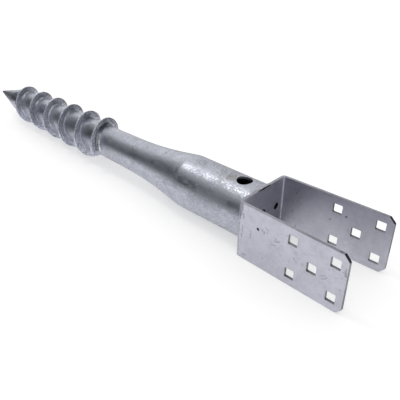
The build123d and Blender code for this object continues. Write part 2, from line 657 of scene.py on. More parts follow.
def fit_to_tube(piece, change):
    """Moves each vertex by change(turn, x from the strip's middle, radius) along X and outwards."""
    for vertex in piece.data.vertices:
        x, y, z = vertex.co
        radius = hypot(y, z)
        turn, offset = winding(vertex.co)
        along, outward = change(turn, offset, radius)
        rise = tube_surface(x + along) - tube_at(flight_start_x)
        scale = (radius + outward + rise) / radius
        vertex.co = (x + along, y * scale, z * scale)


# %% Vary the strip and fit it
rim_gain = flight_height_top - flight_height_tip
full_turn = 2 * pi * flight_turns
full_gain_at = 0.85
waves_out = ((0.22 * MM, 1.7, 0.8), (0.12 * MM, 4.3, 2.1))
waves_along = ((0.30 * MM, 1.1, 2.6), (0.12 * MM, 5.3, 0.0))


def wander(turn, waves):
    """Adds up sine waves, each with a size, a number of radians for each radian of turn, and a start."""
    return sum(size * sin(pace * turn + start) for size, pace, start in waves)


def flight_change(turn, offset, radius):
    """The growing height of the strip and the slight waves of its rim."""
    height = (radius - root_start) / (rim_start - root_start)
    gain = rim_gain * turn / full_turn * min(height / full_gain_at, 1)
    return wander(turn, waves_along) * height, gain + wander(turn, waves_out) * height


fit_to_tube(flight, flight_change)
add_slots(flight, 2)
soften_edges(flight, width=0.3 * MM)
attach(flight, "root")
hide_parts("helical_flight")
report(flight)

# %% [markdown]
# ## The weld beads
#
# A welder's torch leaves a row of small crescent ripples. Each bead starts as a smooth fillet section.
# The flight's is a little hollow, as the zinc rounds the corner out, and the bracket's is full. The one
# at the flight's root is wound on the same screw, and the one behind the bracket is spun round the tube,
# both with many steps, so that ripples can be shaped. A vertex moves out from the fillet's corner by a
# wave along the bead, which lags at the toes.

# %% Draw a fillet section
fillet_steps = 8
toe_sink = 0.25
ripple_height = 0.20
ripple_lag = 0.45
ripple_power = 0.8


def fillet_section(corner_x, corner_radius, way, leg, tuck, fullness):
    """Closed section of a bead in the corner at (x, radius). way is 1 or -1, its side along X."""
    made = [(corner_x - way * tuck, corner_radius - tuck)]
    for count in range(fillet_steps + 1):
        angle = pi / 2 * count / fillet_steps
        out = leg / (cos(angle) + sin(angle)) * (1 - (1 - fullness) * sin(2 * angle))
        sink = tuck * toe_sink * (1 - sin(2 * angle))
        made.append((corner_x + way * (out * cos(angle) - sink), corner_radius + out * sin(angle) - sink))
    return made + made[:1]


def ripple(distance, bend, spacing, toe_share):
    """The ripples about their mean. bend is 0 at the bead's toes, where they are low, and 1 in its middle."""
    height = abs(sin(pi * (distance / spacing - ripple_lag * bend))) ** ripple_power
    return ripple_height * (height - 0.5) * (toe_share + (1 - toe_share) * bend)


# %% [markdown]
# The flight's bead starts 3.8 times as wide and twice as high as it is drawn, and thins to its drawn
# size over the first 1600 degrees. Before the flight's upper end it grows again, to 5.4 times as wide
# and 3.6 times as high, and ends in a broad toe on the tube, painted pale as a highlight.

# %% Draw the flight's bead and wind it
flight_bead_leg = 1.35 * MM
bead_tuck = 0.5 * MM
bead_base = tube_at(flight_start_x)
bead_section = fillet_section(half_thick, bead_base, 1, flight_bead_leg, bead_tuck, fullness=0.74)
flight_bead = wind("flight_bead", bead_section, steps_a_turn=280)
report(flight_bead)

# %% Ripple the flight's bead and let it grow
flight_ripple = 2.4 * MM
flight_swell = ((0.10, 2.3, 1.0), (0.07, 5.7, 0.0))
toe_share = 0.35
bead_run_out = 5 * MM
run_out_share = 0.35
shaped_below = 0.3 * bead_tuck
first_turns = radians(1600)
first_fade = 1.3
first_growth = (2.8, 1.0)
growth_from, growth_to = radians(125), radians(55)
end_growth = (4.4, 2.6)


def growth(turn):
    """How many times wider along the tube and higher up the flight the bead is than it was drawn."""
    grown = min(max((turn - full_turn + growth_from) / (growth_from - growth_to), 0), 1)
    grown *= grown * (3 - 2 * grown)
    first = max(1 - turn / first_turns, 0) ** first_fade
    return tuple(1 + first_growth[way] * first + end_growth[way] * grown for way in (0, 1))


def flight_bead_change(turn, offset, radius):
    """Ripples, swelling, run-out and growth of the bead from the fillet's corner."""
    across, up = offset - half_thick, radius - bead_base
    if across < 0 or up < -shaped_below:
        return 0, 0
    bend = sin(2 * atan2(up, across))
    distance = turn * bead_base
    to_end = min(distance, full_turn * bead_base - distance)
    run_out = run_out_share + (1 - run_out_share) * min(max(to_end, 0) / bead_run_out, 1) ** 0.5
    scale = 1 + wander(turn, flight_swell) + ripple(distance, bend, flight_ripple, toe_share)
    wider, higher = growth(turn)
    return across * (scale * run_out * wider - 1), up * (scale * run_out * higher - 1)


# %% [markdown]
# The toe of the heavy end is picked while the bead still has its plain shape, because its faces are easy
# to tell apart then, and gets a slot of its own for its painted highlight. Only after that is the bead
# shaped and fitted.

# %% Mark the toe of the heavy end
toe_highlight_slot = 1
toe_turns = radians(62)
toe_slope = 0.42


def on_heavy_toe(place):
    """Whether a face's middle lies in the toe of the bead's heavy end, beside the tube."""
    turn, offset = winding(place)
    across, up = offset - half_thick, hypot(place.y, place.z) - bead_base
    return across > 0 and turn > full_turn - toe_turns and -shaped_below < up < toe_slope * across


add_slots(flight_bead, 2)
edit(flight_bead)
toe_faces = pick(flight_bead, "FACE", on_heavy_toe)
flight_bead.active_material_index = toe_highlight_slot
bpy.ops.object.material_slot_assign()
bpy.ops.object.mode_set(mode="OBJECT")
print(toe_faces, "toe faces")

# %% Fit the flight's bead
fit_to_tube(flight_bead, flight_bead_change)
work_on(flight_bead)
bpy.ops.object.shade_smooth_by_angle(angle=radians(50))
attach(flight_bead, "root")
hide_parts("flight_weld")
report(flight_bead)

# %% [markdown]
# The bracket's strip is hardly wider than the tube, so this bead has no room at the top and bottom and
# thins there. On top, the weld runs a little way over the strip's edge, as the photograph shows.

# %% Draw the bracket's bead and spin it
bracket_bead_leg = 3.0 * MM
bracket_ripples = 78
steps_a_ripple = 6

bead_outline = fillet_section(tube_end_x, tube_radius, -1, bracket_bead_leg, bead_tuck, fullness=1.12)
bracket_bead = draw_line("bracket_bead", [(x, 0, radius) for x, radius in bead_outline])
close_up(bracket_bead)
edit(bracket_bead)
bpy.ops.mesh.select_all(action="SELECT")
bpy.ops.mesh.spin(
    steps=steps_a_ripple * bracket_ripples, angle=2 * pi, center=(0, 0, 0), axis=(1, 0, 0)
)
close_up(bracket_bead)
report(bracket_bead)

# %% Ripple the bracket's bead and lap it over the edge
over_edge = 12 * MM
over_reach = 2.3 * MM
over_height = 0.35 * MM
strip_edge = bracket_width / 2
least_cosine = 0.1
most_up = 1.05
bracket_swell = ((0.08, 3, 1), (0.06, 8, 0))

for vertex in bracket_bead.data.vertices:
    x, y, z = vertex.co
    radius = hypot(y, z)
    turn = atan2(-y, z)
    back, up = tube_end_x - x, radius - tube_radius
    bend = sin(2 * atan2(max(up, 0), max(back, 0))) if max(up, back) > 0 else 0
    room = min(bracket_bead_leg, strip_edge / max(abs(cos(turn)), least_cosine) - tube_radius)
    wave = ripple(turn / (2 * pi), bend, 1 / bracket_ripples, toe_share=0.3)
    scale = 1 + wave + wander(turn, bracket_swell)
    if up > 0:
        up *= min(scale, most_up) * room / bracket_bead_leg
    if back > 0:
        back *= scale
    over = max(0, 1 - (y / over_edge) ** 4) if z > 0 and abs(y) < over_edge else 0
    if over and up >= 0 and back < over_reach:
        share = 1 - max(back, 0) / over_reach
        back -= over * share * over_reach
        up += over * share * (strip_edge + over_height - tube_radius - up)
    grow = (tube_radius + up) / radius
    vertex.co = (tube_end_x - back, y * grow, z * grow)

work_on(bracket_bead)
bpy.ops.object.shade_smooth_by_angle(angle=radians(50))
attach(bracket_bead, "root")
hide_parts("bracket_weld")
report(bracket_bead)

# %% [markdown]
# ## Zinc
#
# Hot-dip zinc is a metal skin with a bluish, cloudy grey: broad pale and dark areas, smaller blotches
# and a fine grain. All five pieces were dipped together, so the pattern is one node group, placed in
# each material with its own tones and sizes. The group reads Object coordinates, so the pattern
# stays on the steel, and gives out a colour, a tone and a height for the bump.


# %% Helpers for shader nodes
def shader(tree, kind, sockets=None, **settings):
    """Adds a node, sets it up, and fills its sockets with numbers, colours or links."""
    made = tree.nodes.new(kind)
    for name, value in settings.items():
        setattr(made, name, value)
    for name, value in (sockets or {}).items():
        if isinstance(value, bpy.types.NodeSocket):
            tree.links.new(value, made.inputs[name])
        else:
            made.inputs[name].default_value = value
    return made


def maths(tree, operation, first, second=0.0):
    """One step of arithmetic on sockets or numbers."""
    return shader(tree, "ShaderNodeMath", {0: first, 1: second}, operation=operation).outputs[0]


def vector_maths(tree, operation, *values):
    """One step of arithmetic on vectors. It gives the node's outputs, a vector and a value."""
    return shader(tree, "ShaderNodeVectorMath", dict(enumerate(values)), operation=operation).outputs


def noise(tree, place, scale, detail=2.0, roughness=0.5, distortion=0.0):
    """A cloudy pattern. Its scale is about the number of clouds in a metre."""
    shape = {"Detail": detail, "Roughness": roughness, "Distortion": distortion}
    return shader(tree, "ShaderNodeTexNoise", {"Vector": place, "Scale": scale, **shape}).outputs


noise_mean = 0.5


def ramp(tree, value, low, high, to_low=0.0, to_high=1.0):
    """Maps a range of a value smoothly onto another."""
    sockets = {"Value": value, "From Min": low, "From Max": high, "To Min": to_low, "To Max": to_high}
    return shader(tree, "ShaderNodeMapRange", sockets, interpolation_type="SMOOTHSTEP").outputs[0]


def mix_colour(tree, share, first, second):
    """Mixes two colours by a share."""
    node = shader(tree, "ShaderNodeMix", data_type="RGBA")
    for socket, value in ((node.inputs[0], share), (node.inputs[6], first), (node.inputs[7], second)):
        if isinstance(value, bpy.types.NodeSocket):
            tree.links.new(value, socket)
        else:
            socket.default_value = value
    return node.outputs[2]


def start_group(name, inputs, outputs):
    """Makes a shader node group and returns its tree, its input sockets and its end node."""
    tree = bpy.data.node_groups.new(name, "ShaderNodeTree")
    for label, kind in inputs:
        tree.interface.new_socket(label, in_out="INPUT", socket_type="NodeSocket" + kind)
    for label, kind in outputs:
        tree.interface.new_socket(label, in_out="OUTPUT", socket_type="NodeSocket" + kind)
    start = tree.nodes.new("NodeGroupInput")
    end = tree.nodes.new("NodeGroupOutput")
    return tree, start.outputs, end


# %% The zinc pattern
blotches_a_cloud = 5.2
broad_share = 0.36
grain_height = 0.85

skin_tree, given, skin_end = start_group(
    "zinc_skin",
    [("Place", "Vector"), ("Pale", "Color"), ("Dull", "Color"), ("Clouds", "Float"), ("Grain", "Float"),
     ("Grit", "Float"), ("Contrast", "Float")],
    [("Colour", "Color"), ("Tone", "Float"), ("Height", "Float")],
)
clouds = noise(skin_tree, given["Place"], given["Clouds"], detail=3.0, roughness=0.6, distortion=0.4)[0]
blotch_scale = maths(skin_tree, "MULTIPLY", given["Clouds"], blotches_a_cloud)
blotches = noise(skin_tree, given["Place"], blotch_scale, detail=4.0, roughness=0.6)[0]
grain = noise(skin_tree, given["Place"], given["Grain"])[0]
broad = maths(skin_tree, "SUBTRACT", maths(skin_tree, "ADD", clouds, blotches), 2 * noise_mean)
fine = maths(skin_tree, "MULTIPLY", maths(skin_tree, "SUBTRACT", grain, noise_mean), given["Grit"])
both = maths(skin_tree, "ADD", maths(skin_tree, "MULTIPLY", broad, broad_share), fine)
centred = maths(skin_tree, "MULTIPLY", both, given["Contrast"])
tone = ramp(skin_tree, centred, -0.5, 0.5)
fine_height = maths(skin_tree, "MULTIPLY", grain, grain_height)
broad_height = maths(skin_tree, "MULTIPLY", blotches, 1 - grain_height)
height = maths(skin_tree, "ADD", fine_height, broad_height)
skin_tree.links.new(mix_colour(skin_tree, tone, given["Dull"], given["Pale"]), skin_end.inputs["Colour"])
skin_tree.links.new(tone, skin_end.inputs["Tone"])
skin_tree.links.new(height, skin_end.inputs["Height"])
print("zinc_skin has", len(skin_tree.nodes), "nodes")

# %% [markdown]
# Dross from the zinc bath leaves pin-head specks all over a piece. The zinc also runs while it sets,
# which leaves short curved creases and small pits, and handling leaves smudges. The smudge group also
# paints patches of shade and light. Those lie at certain places, so a pit, a crease and a smudge are
# each a group that is told its place.

# %% Specks, pits and creases
speck_core_share = 0.4
pit_fade = (1.25, 0.65)
crease_fade = (1.0, 0.2)
crease_end_fade = (1.15, 0.6)

speck_tree, given, speck_end = start_group(
    "dross_specks",
    [("Place", "Vector"), ("Density", "Float"), ("Size", "Float"), ("Share", "Float")],
    [("Mask", "Float")],
)
cells = shader(speck_tree, "ShaderNodeTexVoronoi", {"Vector": given["Place"], "Scale": given["Density"]})
speck_core = maths(speck_tree, "MULTIPLY", given["Size"], speck_core_share)
small = ramp(speck_tree, cells.outputs["Distance"], given["Size"], speck_core)
pick_cell = shader(speck_tree, "ShaderNodeSeparateColor", {"Color": cells.outputs["Color"]}).outputs[0]
chosen = maths(speck_tree, "LESS_THAN", pick_cell, given["Share"])
speck_tree.links.new(maths(speck_tree, "MULTIPLY", small, chosen), speck_end.inputs["Mask"])


def distance(tree, first, second):
    """How far two places are apart."""
    return vector_maths(tree, "DISTANCE", first, second)["Value"]


pit_tree, given, pit_end = start_group(
    "pit", [("Place", "Vector"), ("Middle", "Vector"), ("Radius", "Float")], [("Mask", "Float")]
)
pit_share = maths(pit_tree, "DIVIDE", distance(pit_tree, given["Place"], given["Middle"]), given["Radius"])
pit_tree.links.new(ramp(pit_tree, pit_share, *pit_fade), pit_end.inputs["Mask"])

crease_tree, given, crease_end = start_group(
    "crease",
    [("Place", "Vector"), ("Hub", "Vector"), ("Bend", "Float"), ("Middle", "Vector"), ("Reach", "Float"),
     ("Width", "Float")],
    [("Mask", "Float")],
)
from_hub = distance(crease_tree, given["Place"], given["Hub"])
off_line = maths(crease_tree, "ABSOLUTE", maths(crease_tree, "SUBTRACT", from_hub, given["Bend"]))
thin = ramp(crease_tree, maths(crease_tree, "DIVIDE", off_line, given["Width"]), *crease_fade)
from_middle = distance(crease_tree, given["Place"], given["Middle"])
short = ramp(crease_tree, maths(crease_tree, "DIVIDE", from_middle, given["Reach"]), *crease_end_fade)
crease_tree.links.new(maths(crease_tree, "MULTIPLY", thin, short), crease_end.inputs["Mask"])
print("dross_specks, pit and crease are ready")

# %% Smudges
tear_scale = 420.0
fold_scale = 210.0
smudge_and_shade_fade = (1.1, 0.7)
fold_fade = (0.035, 0.008)

smudge_and_shade_tree, given, smudge_and_shade_end = start_group(
    "smudge_and_shade",
    [("Place", "Vector"), ("Middle", "Vector"), ("Stretch", "Vector"), ("Radius", "Float"),
     ("Raggedness", "Float"), ("Wrinkles", "Float")],
    [("Mask", "Float")],
)
offset = vector_maths(smudge_and_shade_tree, "SUBTRACT", given["Place"], given["Middle"])[0]
offset = vector_maths(smudge_and_shade_tree, "MULTIPLY", offset, given["Stretch"])[0]
away = vector_maths(smudge_and_shade_tree, "LENGTH", offset)["Value"]
ragged = noise(smudge_and_shade_tree, given["Place"], tear_scale)[0]
share = maths(smudge_and_shade_tree, "DIVIDE", away, given["Radius"])
torn = maths(smudge_and_shade_tree, "MULTIPLY", maths(smudge_and_shade_tree, "SUBTRACT", ragged, noise_mean), given["Raggedness"])
mask = ramp(smudge_and_shade_tree, maths(smudge_and_shade_tree, "ADD", share, torn), *smudge_and_shade_fade)
folds = noise(smudge_and_shade_tree, given["Place"], fold_scale, roughness=0.55, distortion=0.6)[0]
off_fold = maths(smudge_and_shade_tree, "ABSOLUTE", maths(smudge_and_shade_tree, "SUBTRACT", folds, noise_mean))
line = ramp(smudge_and_shade_tree, off_fold, *fold_fade)
line = maths(smudge_and_shade_tree, "MAXIMUM", line, maths(smudge_and_shade_tree, "SUBTRACT", 1.0, given["Wrinkles"]))
smudge_and_shade_tree.links.new(maths(smudge_and_shade_tree, "MULTIPLY", mask, line), smudge_and_shade_end.inputs["Mask"])
print("smudge is ready")

# %% [markdown]
# ## Materials
#
# Every material is a metal: the zinc pattern gives its colour and its fine relief, and its tone also
# moves the roughness a little, because the paler zinc is the smoother. Pits, creases, smudges and
# patches of painted shade and light are mixed into the colour alone, one after another. The numbers
# that don't vary sit on the shader itself.

# %% Describe the marks
# Soot colours the specks, pits, creases and smudges, and also the patches of painted shade. The dark tone
# paints shadow and shade at the flight's root, on its bead and on the bracket's bend, and darkens the bead's
# heavy end. The pale tone paints light.
soot_and_shade = (0.03, 0.03, 0.035, 1)
rust = (0.20, 0.17, 0.11, 1)
painted_light_tone = (0.78, 0.78, 0.86, 1)
dark_tone_and_shade = (0.06, 0.068, 0.09, 1)
crease_width = 1.15


def in_metres(place):
    """A place in millimetres, in metres."""
    return [v * MM for v in place]


def pit(middle, radius, strength):
    """A small round pit or speck at a place in millimetres."""
    return pit_tree, strength, soot_and_shade, {"Middle": in_metres(middle), "Radius": radius * MM}


def smudge_and_shade(middle, radius, strength, stretch=(1, 1, 1), ragged=0.3, wrinkles=0.0, colour=soot_and_shade):
    """A smudge, or a patch of painted shade or light, at a place in millimetres, torn at its edge and
    broken into wrinkles.

    It reaches further along an axis whose stretch is under 1.
    """
    sockets = {"Middle": in_metres(middle), "Radius": radius * MM, "Stretch": stretch, "Raggedness": ragged,
               "Wrinkles": wrinkles}
    return smudge_and_shade_tree, strength, colour, sockets


def crease(on_face, start, middle, end, strength):
    """A crease along the arc through three places on a flat face."""
    (ax, ay), (bx, by), (cx, cy) = start, middle, end
    turn = 2 * (ax * (by - cy) + bx * (cy - ay) + cx * (ay - by))
    a2, b2, c2 = ax * ax + ay * ay, bx * bx + by * by, cx * cx + cy * cy
    hub = ((a2 * (by - cy) + b2 * (cy - ay) + c2 * (ay - by)) / turn,
           (a2 * (cx - bx) + b2 * (ax - cx) + c2 * (bx - ax)) / turn)
    sockets = {"Hub": in_metres(on_face(*hub)), "Bend": hypot(ax - hub[0], ay - hub[1]) * MM,
               "Middle": in_metres(on_face(*middle)), "Reach": hypot(ax - cx, ay - cy) / 2 * MM,
               "Width": crease_width * MM}
    return crease_tree, strength, soot_and_shade, sockets


# %% [markdown]
# Winding the flight leaves faint rings in its zinc. They could be waves of one width, but real ones
# differ, so they are noise that changes with the distance from the axis and hardly at all around it.


# %% Ring the flight
ring_shade = (0.12, 0.125, 0.15, 1)
ring_depth = 0.5
ring_drift = 0.16
ring_scale = 430.0
ring_fade = (0.45, 0.68)


def ring_bands(tree, place):
    """Faint bands that follow the flight's rim."""
    axes = shader(tree, "ShaderNodeSeparateXYZ", {"Vector": place}).outputs
    across = shader(tree, "ShaderNodeCombineXYZ", {"Y": axes["Y"], "Z": axes["Z"]}).outputs[0]
    radius = vector_maths(tree, "LENGTH", across)["Value"]
    slow_y, slow_z = (maths(tree, "MULTIPLY", axes[name], ring_drift) for name in "YZ")
    wound = shader(tree, "ShaderNodeCombineXYZ", {"X": radius, "Y": slow_y, "Z": slow_z}).outputs[0]
    return ramp(tree, noise(tree, wound, ring_scale)[0], *ring_fade)


# %% Build a zinc material
cloud_scale = 24.0
speck_pattern = {"Density": 95.0, "Size": 0.07, "Share": 0.05}
speck_strength = 0.65
mark_drift = 2.4 * MM
mark_drift_scale = 260.0


def zinc(name, pale, dull, grain=620.0, grit=0.28, contrast=2.4, rough=(0.46, 0.36), relief=0.12,
         rings=0.0, marks=()):
    """A hot-dip zinc material from a pale and a dull tone, its pattern's size and strength, and marks."""
    material = bpy.data.materials.new(name)
    material.use_nodes = True
    tree = material.node_tree
    tree.nodes.clear()
    place = tree.nodes.new("ShaderNodeTexCoord").outputs["Object"]
    pattern = {"Place": place, "Pale": (*pale, 1), "Dull": (*dull, 1), "Clouds": cloud_scale,
               "Grain": grain, "Grit": grit, "Contrast": contrast}
    skin = shader(tree, "ShaderNodeGroup", pattern, node_tree=skin_tree).outputs
    scatter = {"Place": place, **speck_pattern}
    specks = shader(tree, "ShaderNodeGroup", scatter, node_tree=speck_tree).outputs[0]
    colour = mix_colour(tree, maths(tree, "MULTIPLY", specks, speck_strength), skin["Colour"], soot_and_shade)
    height = skin["Height"]
    if rings:
        band = ring_bands(tree, place)
        colour = mix_colour(tree, maths(tree, "MULTIPLY", band, rings), colour, ring_shade)
        height = maths(tree, "SUBTRACT", height, maths(tree, "MULTIPLY", band, ring_depth))
    if marks:
        drift = noise(tree, place, mark_drift_scale)["Color"]
        drift = vector_maths(tree, "SUBTRACT", drift, (noise_mean,) * 3)[0]
        place = vector_maths(tree, "MULTIPLY_ADD", drift, (mark_drift,) * 3, place)[0]
    for group, strength, tint, sockets in marks:
        spot = shader(tree, "ShaderNodeGroup", {"Place": place, **sockets}, node_tree=group)
        colour = mix_colour(tree, maths(tree, "MULTIPLY", spot.outputs["Mask"], strength), colour, tint)
    rough_now = ramp(tree, skin["Tone"], 0.0, 1.0, rough[0], rough[1])
    dents = {"Height": height, "Strength": 1.0, "Distance": relief * MM}
    bump = shader(tree, "ShaderNodeBump", dents).outputs[0]
    metal = shader(
        tree, "ShaderNodeBsdfPrincipled",
        {"Base Color": colour, "Metallic": 1.0, "Roughness": rough_now, "Normal": bump},
    )
    end = tree.nodes.new("ShaderNodeOutputMaterial")
    tree.links.new(metal.outputs[0], end.inputs["Surface"])
    print(name, "has", len(tree.nodes), "nodes and", len(marks), "marks")
    return material


def paint(piece, *materials):
    """Puts the materials in the piece's slots, in order."""
    while len(piece.data.materials) < len(materials):
        piece.data.materials.append(None)
    for index, material in enumerate(materials):
        piece.data.materials[index] = material


# %% [markdown]
# ## The bracket's finish
#
# The bracket is rolled sheet, so its zinc is the most even. Its marks could be strewn at random, but a
# few stand out in the photograph, so the more striking ones lie at their places. A place on a leg is
# given in millimetres along it from the seat and up from its middle line.


# %% Find places on the pieces
def on_near_leg(along, height):
    """A place on the near leg's outer face, in millimetres from the seat along the leg."""
    return (along * cos(leg_lean), -(post_gap / 2 + sheet) / MM - along * sin(leg_lean), height)


def on_far_leg(along, height):
    """A place on the far leg's inner face, in millimetres from the seat along the leg."""
    return (along * cos(leg_lean), post_gap / 2 / MM + along * sin(leg_lean), height)


def on_tube(x, turn):
    """A place on the tube's outside, in millimetres, and degrees from the top towards the near side."""
    radius = tube_surface(x * MM) / MM
    return (x, -radius * sin(radians(turn)), radius * cos(radians(turn)))


# %% Paint the bracket
near_creases = [
    ((27.1, 13.3), (29.7, 13.6), (30.7, 12.2), 0.38),
    ((31.9, 13.7), (32.6, 11.7), (30.5, 9.1), 0.36),
    ((32.0, 18.5), (35.0, 17.4), (37.0, 16.0), 0.26),
    ((35.7, 14.9), (36.1, 13.7), (35.8, 12.1), 0.22),
    ((11.8, 5.7), (14.5, 5.7), (16.3, 4.2), 0.28),
    ((16.2, 4.5), (15.5, 0.5), (15.1, -3.3), 0.36),
    ((3.8, -2.4), (3.6, -5.2), (4.1, -7.5), 0.45),
    ((45.4, 9.0), (48.5, 9.3), (51.8, 12.1), 0.34),
    ((45.1, 12.6), (46.7, 11.6), (47.1, 10.3), 0.22),
    ((39.8, 3.2), (43.9, 3.5), (48.3, 5.4), 0.20),
    ((5.8, -29.6), (9.0, -26.5), (12.5, -27.0), 0.30),
    ((101.0, -4.3), (104.1, -2.9), (106.8, 0.6), 0.32),
    ((98.1, -2.2), (102.1, -0.8), (105.5, 2.0), 0.18),
    ((68.0, 2.1), (69.7, 1.2), (69.2, -1.5), 0.26),
    ((71.2, -0.9), (72.2, -1.7), (72.0, -3.3), 0.22),
    ((5.0, 22.3), (4.9, 18.7), (5.5, 14.8), 0.45),
    ((4.3, 8.7), (4.3, 3.8), (5.1, -0.8), 0.30),
    ((0.9, 19.8), (0.8, 16.1), (1.3, 13.3), 0.42),
    ((123.3, 20.7), (124.0, 15.6), (124.3, 10.2), 0.40),
    ((122.3, 18.0), (122.9, 13.9), (123.2, 9.6), 0.22),
]
near_pits = [
    ((24.0, 12.1), 1.75, 1.0), ((32.5, -19.1), 1.4, 0.18), ((53.9, -3.3), 1.3, 0.16),
    ((59.0, 21.8), 1.2, 0.22), ((111.2, 12.1), 0.8, 0.35), ((121.1, 14.5), 1.0, 0.25),
    ((119.6, 20.3), 1.0, 0.25), ((115.3, 4.9), 0.9, 0.2), ((120.8, 7.6), 1.0, 0.2),
    ((121.5, -5.7), 1.6, 0.16), ((106.9, 9.6), 1.0, 0.2), ((79.2, 0.1), 2.0, 0.14),
]
far_pits = [
    ((20.0, -21.6), 1.1, 0.5), ((77.0, 14.5), 1.3, 0.75), ((59.6, 4.3), 1.4, 0.5),
    ((17.6, 19.4), 1.1, 0.5), ((21.9, 14.9), 1.0, 0.35), ((25.3, -11.9), 1.0, 0.35),
    ((14.2, -5.0), 1.5, 0.3),
]
crease_gain = 1.1

bracket_marks = [crease(on_near_leg, *points, crease_gain * strength) for *points, strength in near_creases]
bracket_marks += [pit(on_near_leg(*middle), radius, strength) for middle, radius, strength in near_pits]
bracket_marks += [pit(on_far_leg(*middle), radius, strength) for middle, radius, strength in far_pits]
# Painted shadow: a dark line on the strip's top edge above the tube, where the weld laps over it.
seat_shadow_line = smudge_and_shade((-0.3, 0, 33.0), 1.3, 1.0, stretch=(1.0, 0.11, 1.0))
bracket_marks += [
    smudge_and_shade(on_near_leg(70, 9), 3.5, 0.10, ragged=1.0),
    smudge_and_shade(on_far_leg(17, 16), 9, 0.35, ragged=1.2, wrinkles=1.0),
    smudge_and_shade(on_far_leg(20, 3), 9, 0.25, ragged=1.2, wrinkles=1.0),
    # Painted shade on the base's inside face, between the legs.
    smudge_and_shade((0, 0, 0), 50, 0.48, stretch=(40.0, 1.0, 1.0), ragged=0.5),
    smudge_and_shade(on_far_leg(118, 0), 40, 0.13, ragged=0.5),
    # Painted light: a paler patch on the far leg's inside, near the seat.
    smudge_and_shade(on_far_leg(32, 0), 45, 0.22, stretch=(1.0, 6.0, 1.0), ragged=0.5, colour=painted_light_tone),
    seat_shadow_line,
    # Painted shade on the near leg's outer bend, near its top, beside the tube.
    smudge_and_shade((-1.0, -39.0, 30), 5.5, 0.5, stretch=(1.0, 1.0, 0.33), ragged=0.5, colour=dark_tone_and_shade),
]
top_marks = [
    seat_shadow_line,
    smudge_and_shade((104, -41.0, 33), 2.6, 0.15, stretch=(0.065, 1.0, 1.0)),
    pit((115.5, -41.4, 33), 1.7, 0.5),
    pit((104.5, -40.6, 33), 0.9, 0.35),
]
zinc_bracket = zinc(
    "zinc_bracket", (0.575, 0.575, 0.655), (0.49, 0.49, 0.56), grain=430.0, contrast=3.0, marks=bracket_marks
)
# The edge and cut colours paint shade on the bevels, the hole walls and the leg ends, and on the corner cuts
# they add to the cut steel's own dark.
zinc_edge_shade = zinc("zinc_edge_shade", (0.27, 0.27, 0.30), (0.16, 0.16, 0.18), contrast=3.0, marks=[seat_shadow_line])
zinc_side = zinc("zinc_side", (0.43, 0.43, 0.49), (0.32, 0.32, 0.365), contrast=3.0, marks=top_marks)
zinc_cut_and_shade = zinc("zinc_cut_and_shade", (0.085, 0.085, 0.095), (0.045, 0.045, 0.05), contrast=3.0)
paint(bracket, zinc_bracket, zinc_edge_shade, zinc_side, zinc_cut_and_shade)

# %% [markdown]
# ## The finish of the tube, the flight and the welds
#
# The tube is grittier than the bracket and is stained in a few places, brown beside its hole. Between
# the flight's upper turns its shaft has patches of painted shade. The flight's zinc is lumpy, so it gets
# the strongest relief and contrast, and it has painted shadow where it meets the tube on top of its
# last turn. The welds are darker. Their dark patches paint shadow at the flight's root and shade on the
# bead's first two turns, and one darkens the bead's heavy end. The toe at the upper end of the flight's
# bead is painted palest, as a highlight.

# %% Paint the tube, the flight and the welds
# Painted shadow at the flight's root on top, near its upper end (-306, -266), painted shade on the bead's
# first two turns (-457, -418), and a darker patch on its heavy end (-260).
weld_shade_and_dark_patches = [
    ((-260, 58), 25, 0.55), ((-457, 38), 11, 0.55), ((-418, 38), 11, 0.55), ((-306, 4), 9, 0.4),
    ((-266, 14), 11, 0.75),
]

zinc_tube = zinc(
    "zinc_tube", (0.54, 0.558, 0.63), (0.435, 0.45, 0.508), grain=560.0, grit=0.8, contrast=3.2,
    rough=(0.55, 0.34), relief=0.2,
    marks=[
        smudge_and_shade(on_tube(-47, 9), 13, 0.6, ragged=1.2, wrinkles=1.0, colour=rust),
        smudge_and_shade(on_tube(-40, 9), 6, 0.3, ragged=1.8, colour=rust),
        smudge_and_shade(on_tube(-142, 10), 6, 0.75, ragged=1.2, wrinkles=1.0),
        smudge_and_shade(on_tube(-192, 31), 6, 0.6, ragged=1.2, wrinkles=1.0),
        smudge_and_shade(on_tube(-85.5, 2), 7, 0.6, ragged=1.2, wrinkles=1.0),
        # Painted shade on the shaft between the flight's upper turns.
        smudge_and_shade(on_tube(-323, 50), 14, 0.30, ragged=0.5),
        smudge_and_shade(on_tube(-284, 50), 14, 0.36, ragged=0.5),
    ],
)
zinc_flight = zinc(
    "zinc_flight", (0.79, 0.81, 0.90), (0.40, 0.415, 0.477), grain=460.0, grit=0.6, contrast=4.0,
    relief=0.6, rings=0.3,
    # Painted shadow where the flight meets the tube, on top of its last turn.
    marks=[smudge_and_shade(on_tube(-268, 6), 4.5, 0.7, stretch=(1.0, 0.26, 1.0), colour=dark_tone_and_shade)],
)
zinc_weld = zinc(
    "zinc_weld", (0.58, 0.59, 0.65), (0.36, 0.37, 0.42), grain=460.0, grit=0.5, contrast=3.5,
    rough=(0.46, 0.34), relief=0.4,
    marks=[
        smudge_and_shade(on_tube(*middle), radius, strength, ragged=0.4, colour=dark_tone_and_shade)
        for middle, radius, strength in weld_shade_and_dark_patches
    ],
)
# Painted highlight: the toe is painted palest. Its mark darkens the part next to the heavy end.
zinc_toe_highlight = zinc(
    "zinc_toe_highlight", (0.93, 0.94, 0.97), (0.76, 0.77, 0.82), rough=(0.40, 0.30), relief=0.2,
    marks=[smudge_and_shade(on_tube(-258, 38), 10, 0.65, ragged=0.4, colour=dark_tone_and_shade)],
)
paint(tube, zinc_tube, zinc_cut_and_shade)
paint(flight, zinc_flight, zinc_flight)
paint(flight_bead, zinc_weld, zinc_toe_highlight)
paint(bracket_bead, zinc_weld)

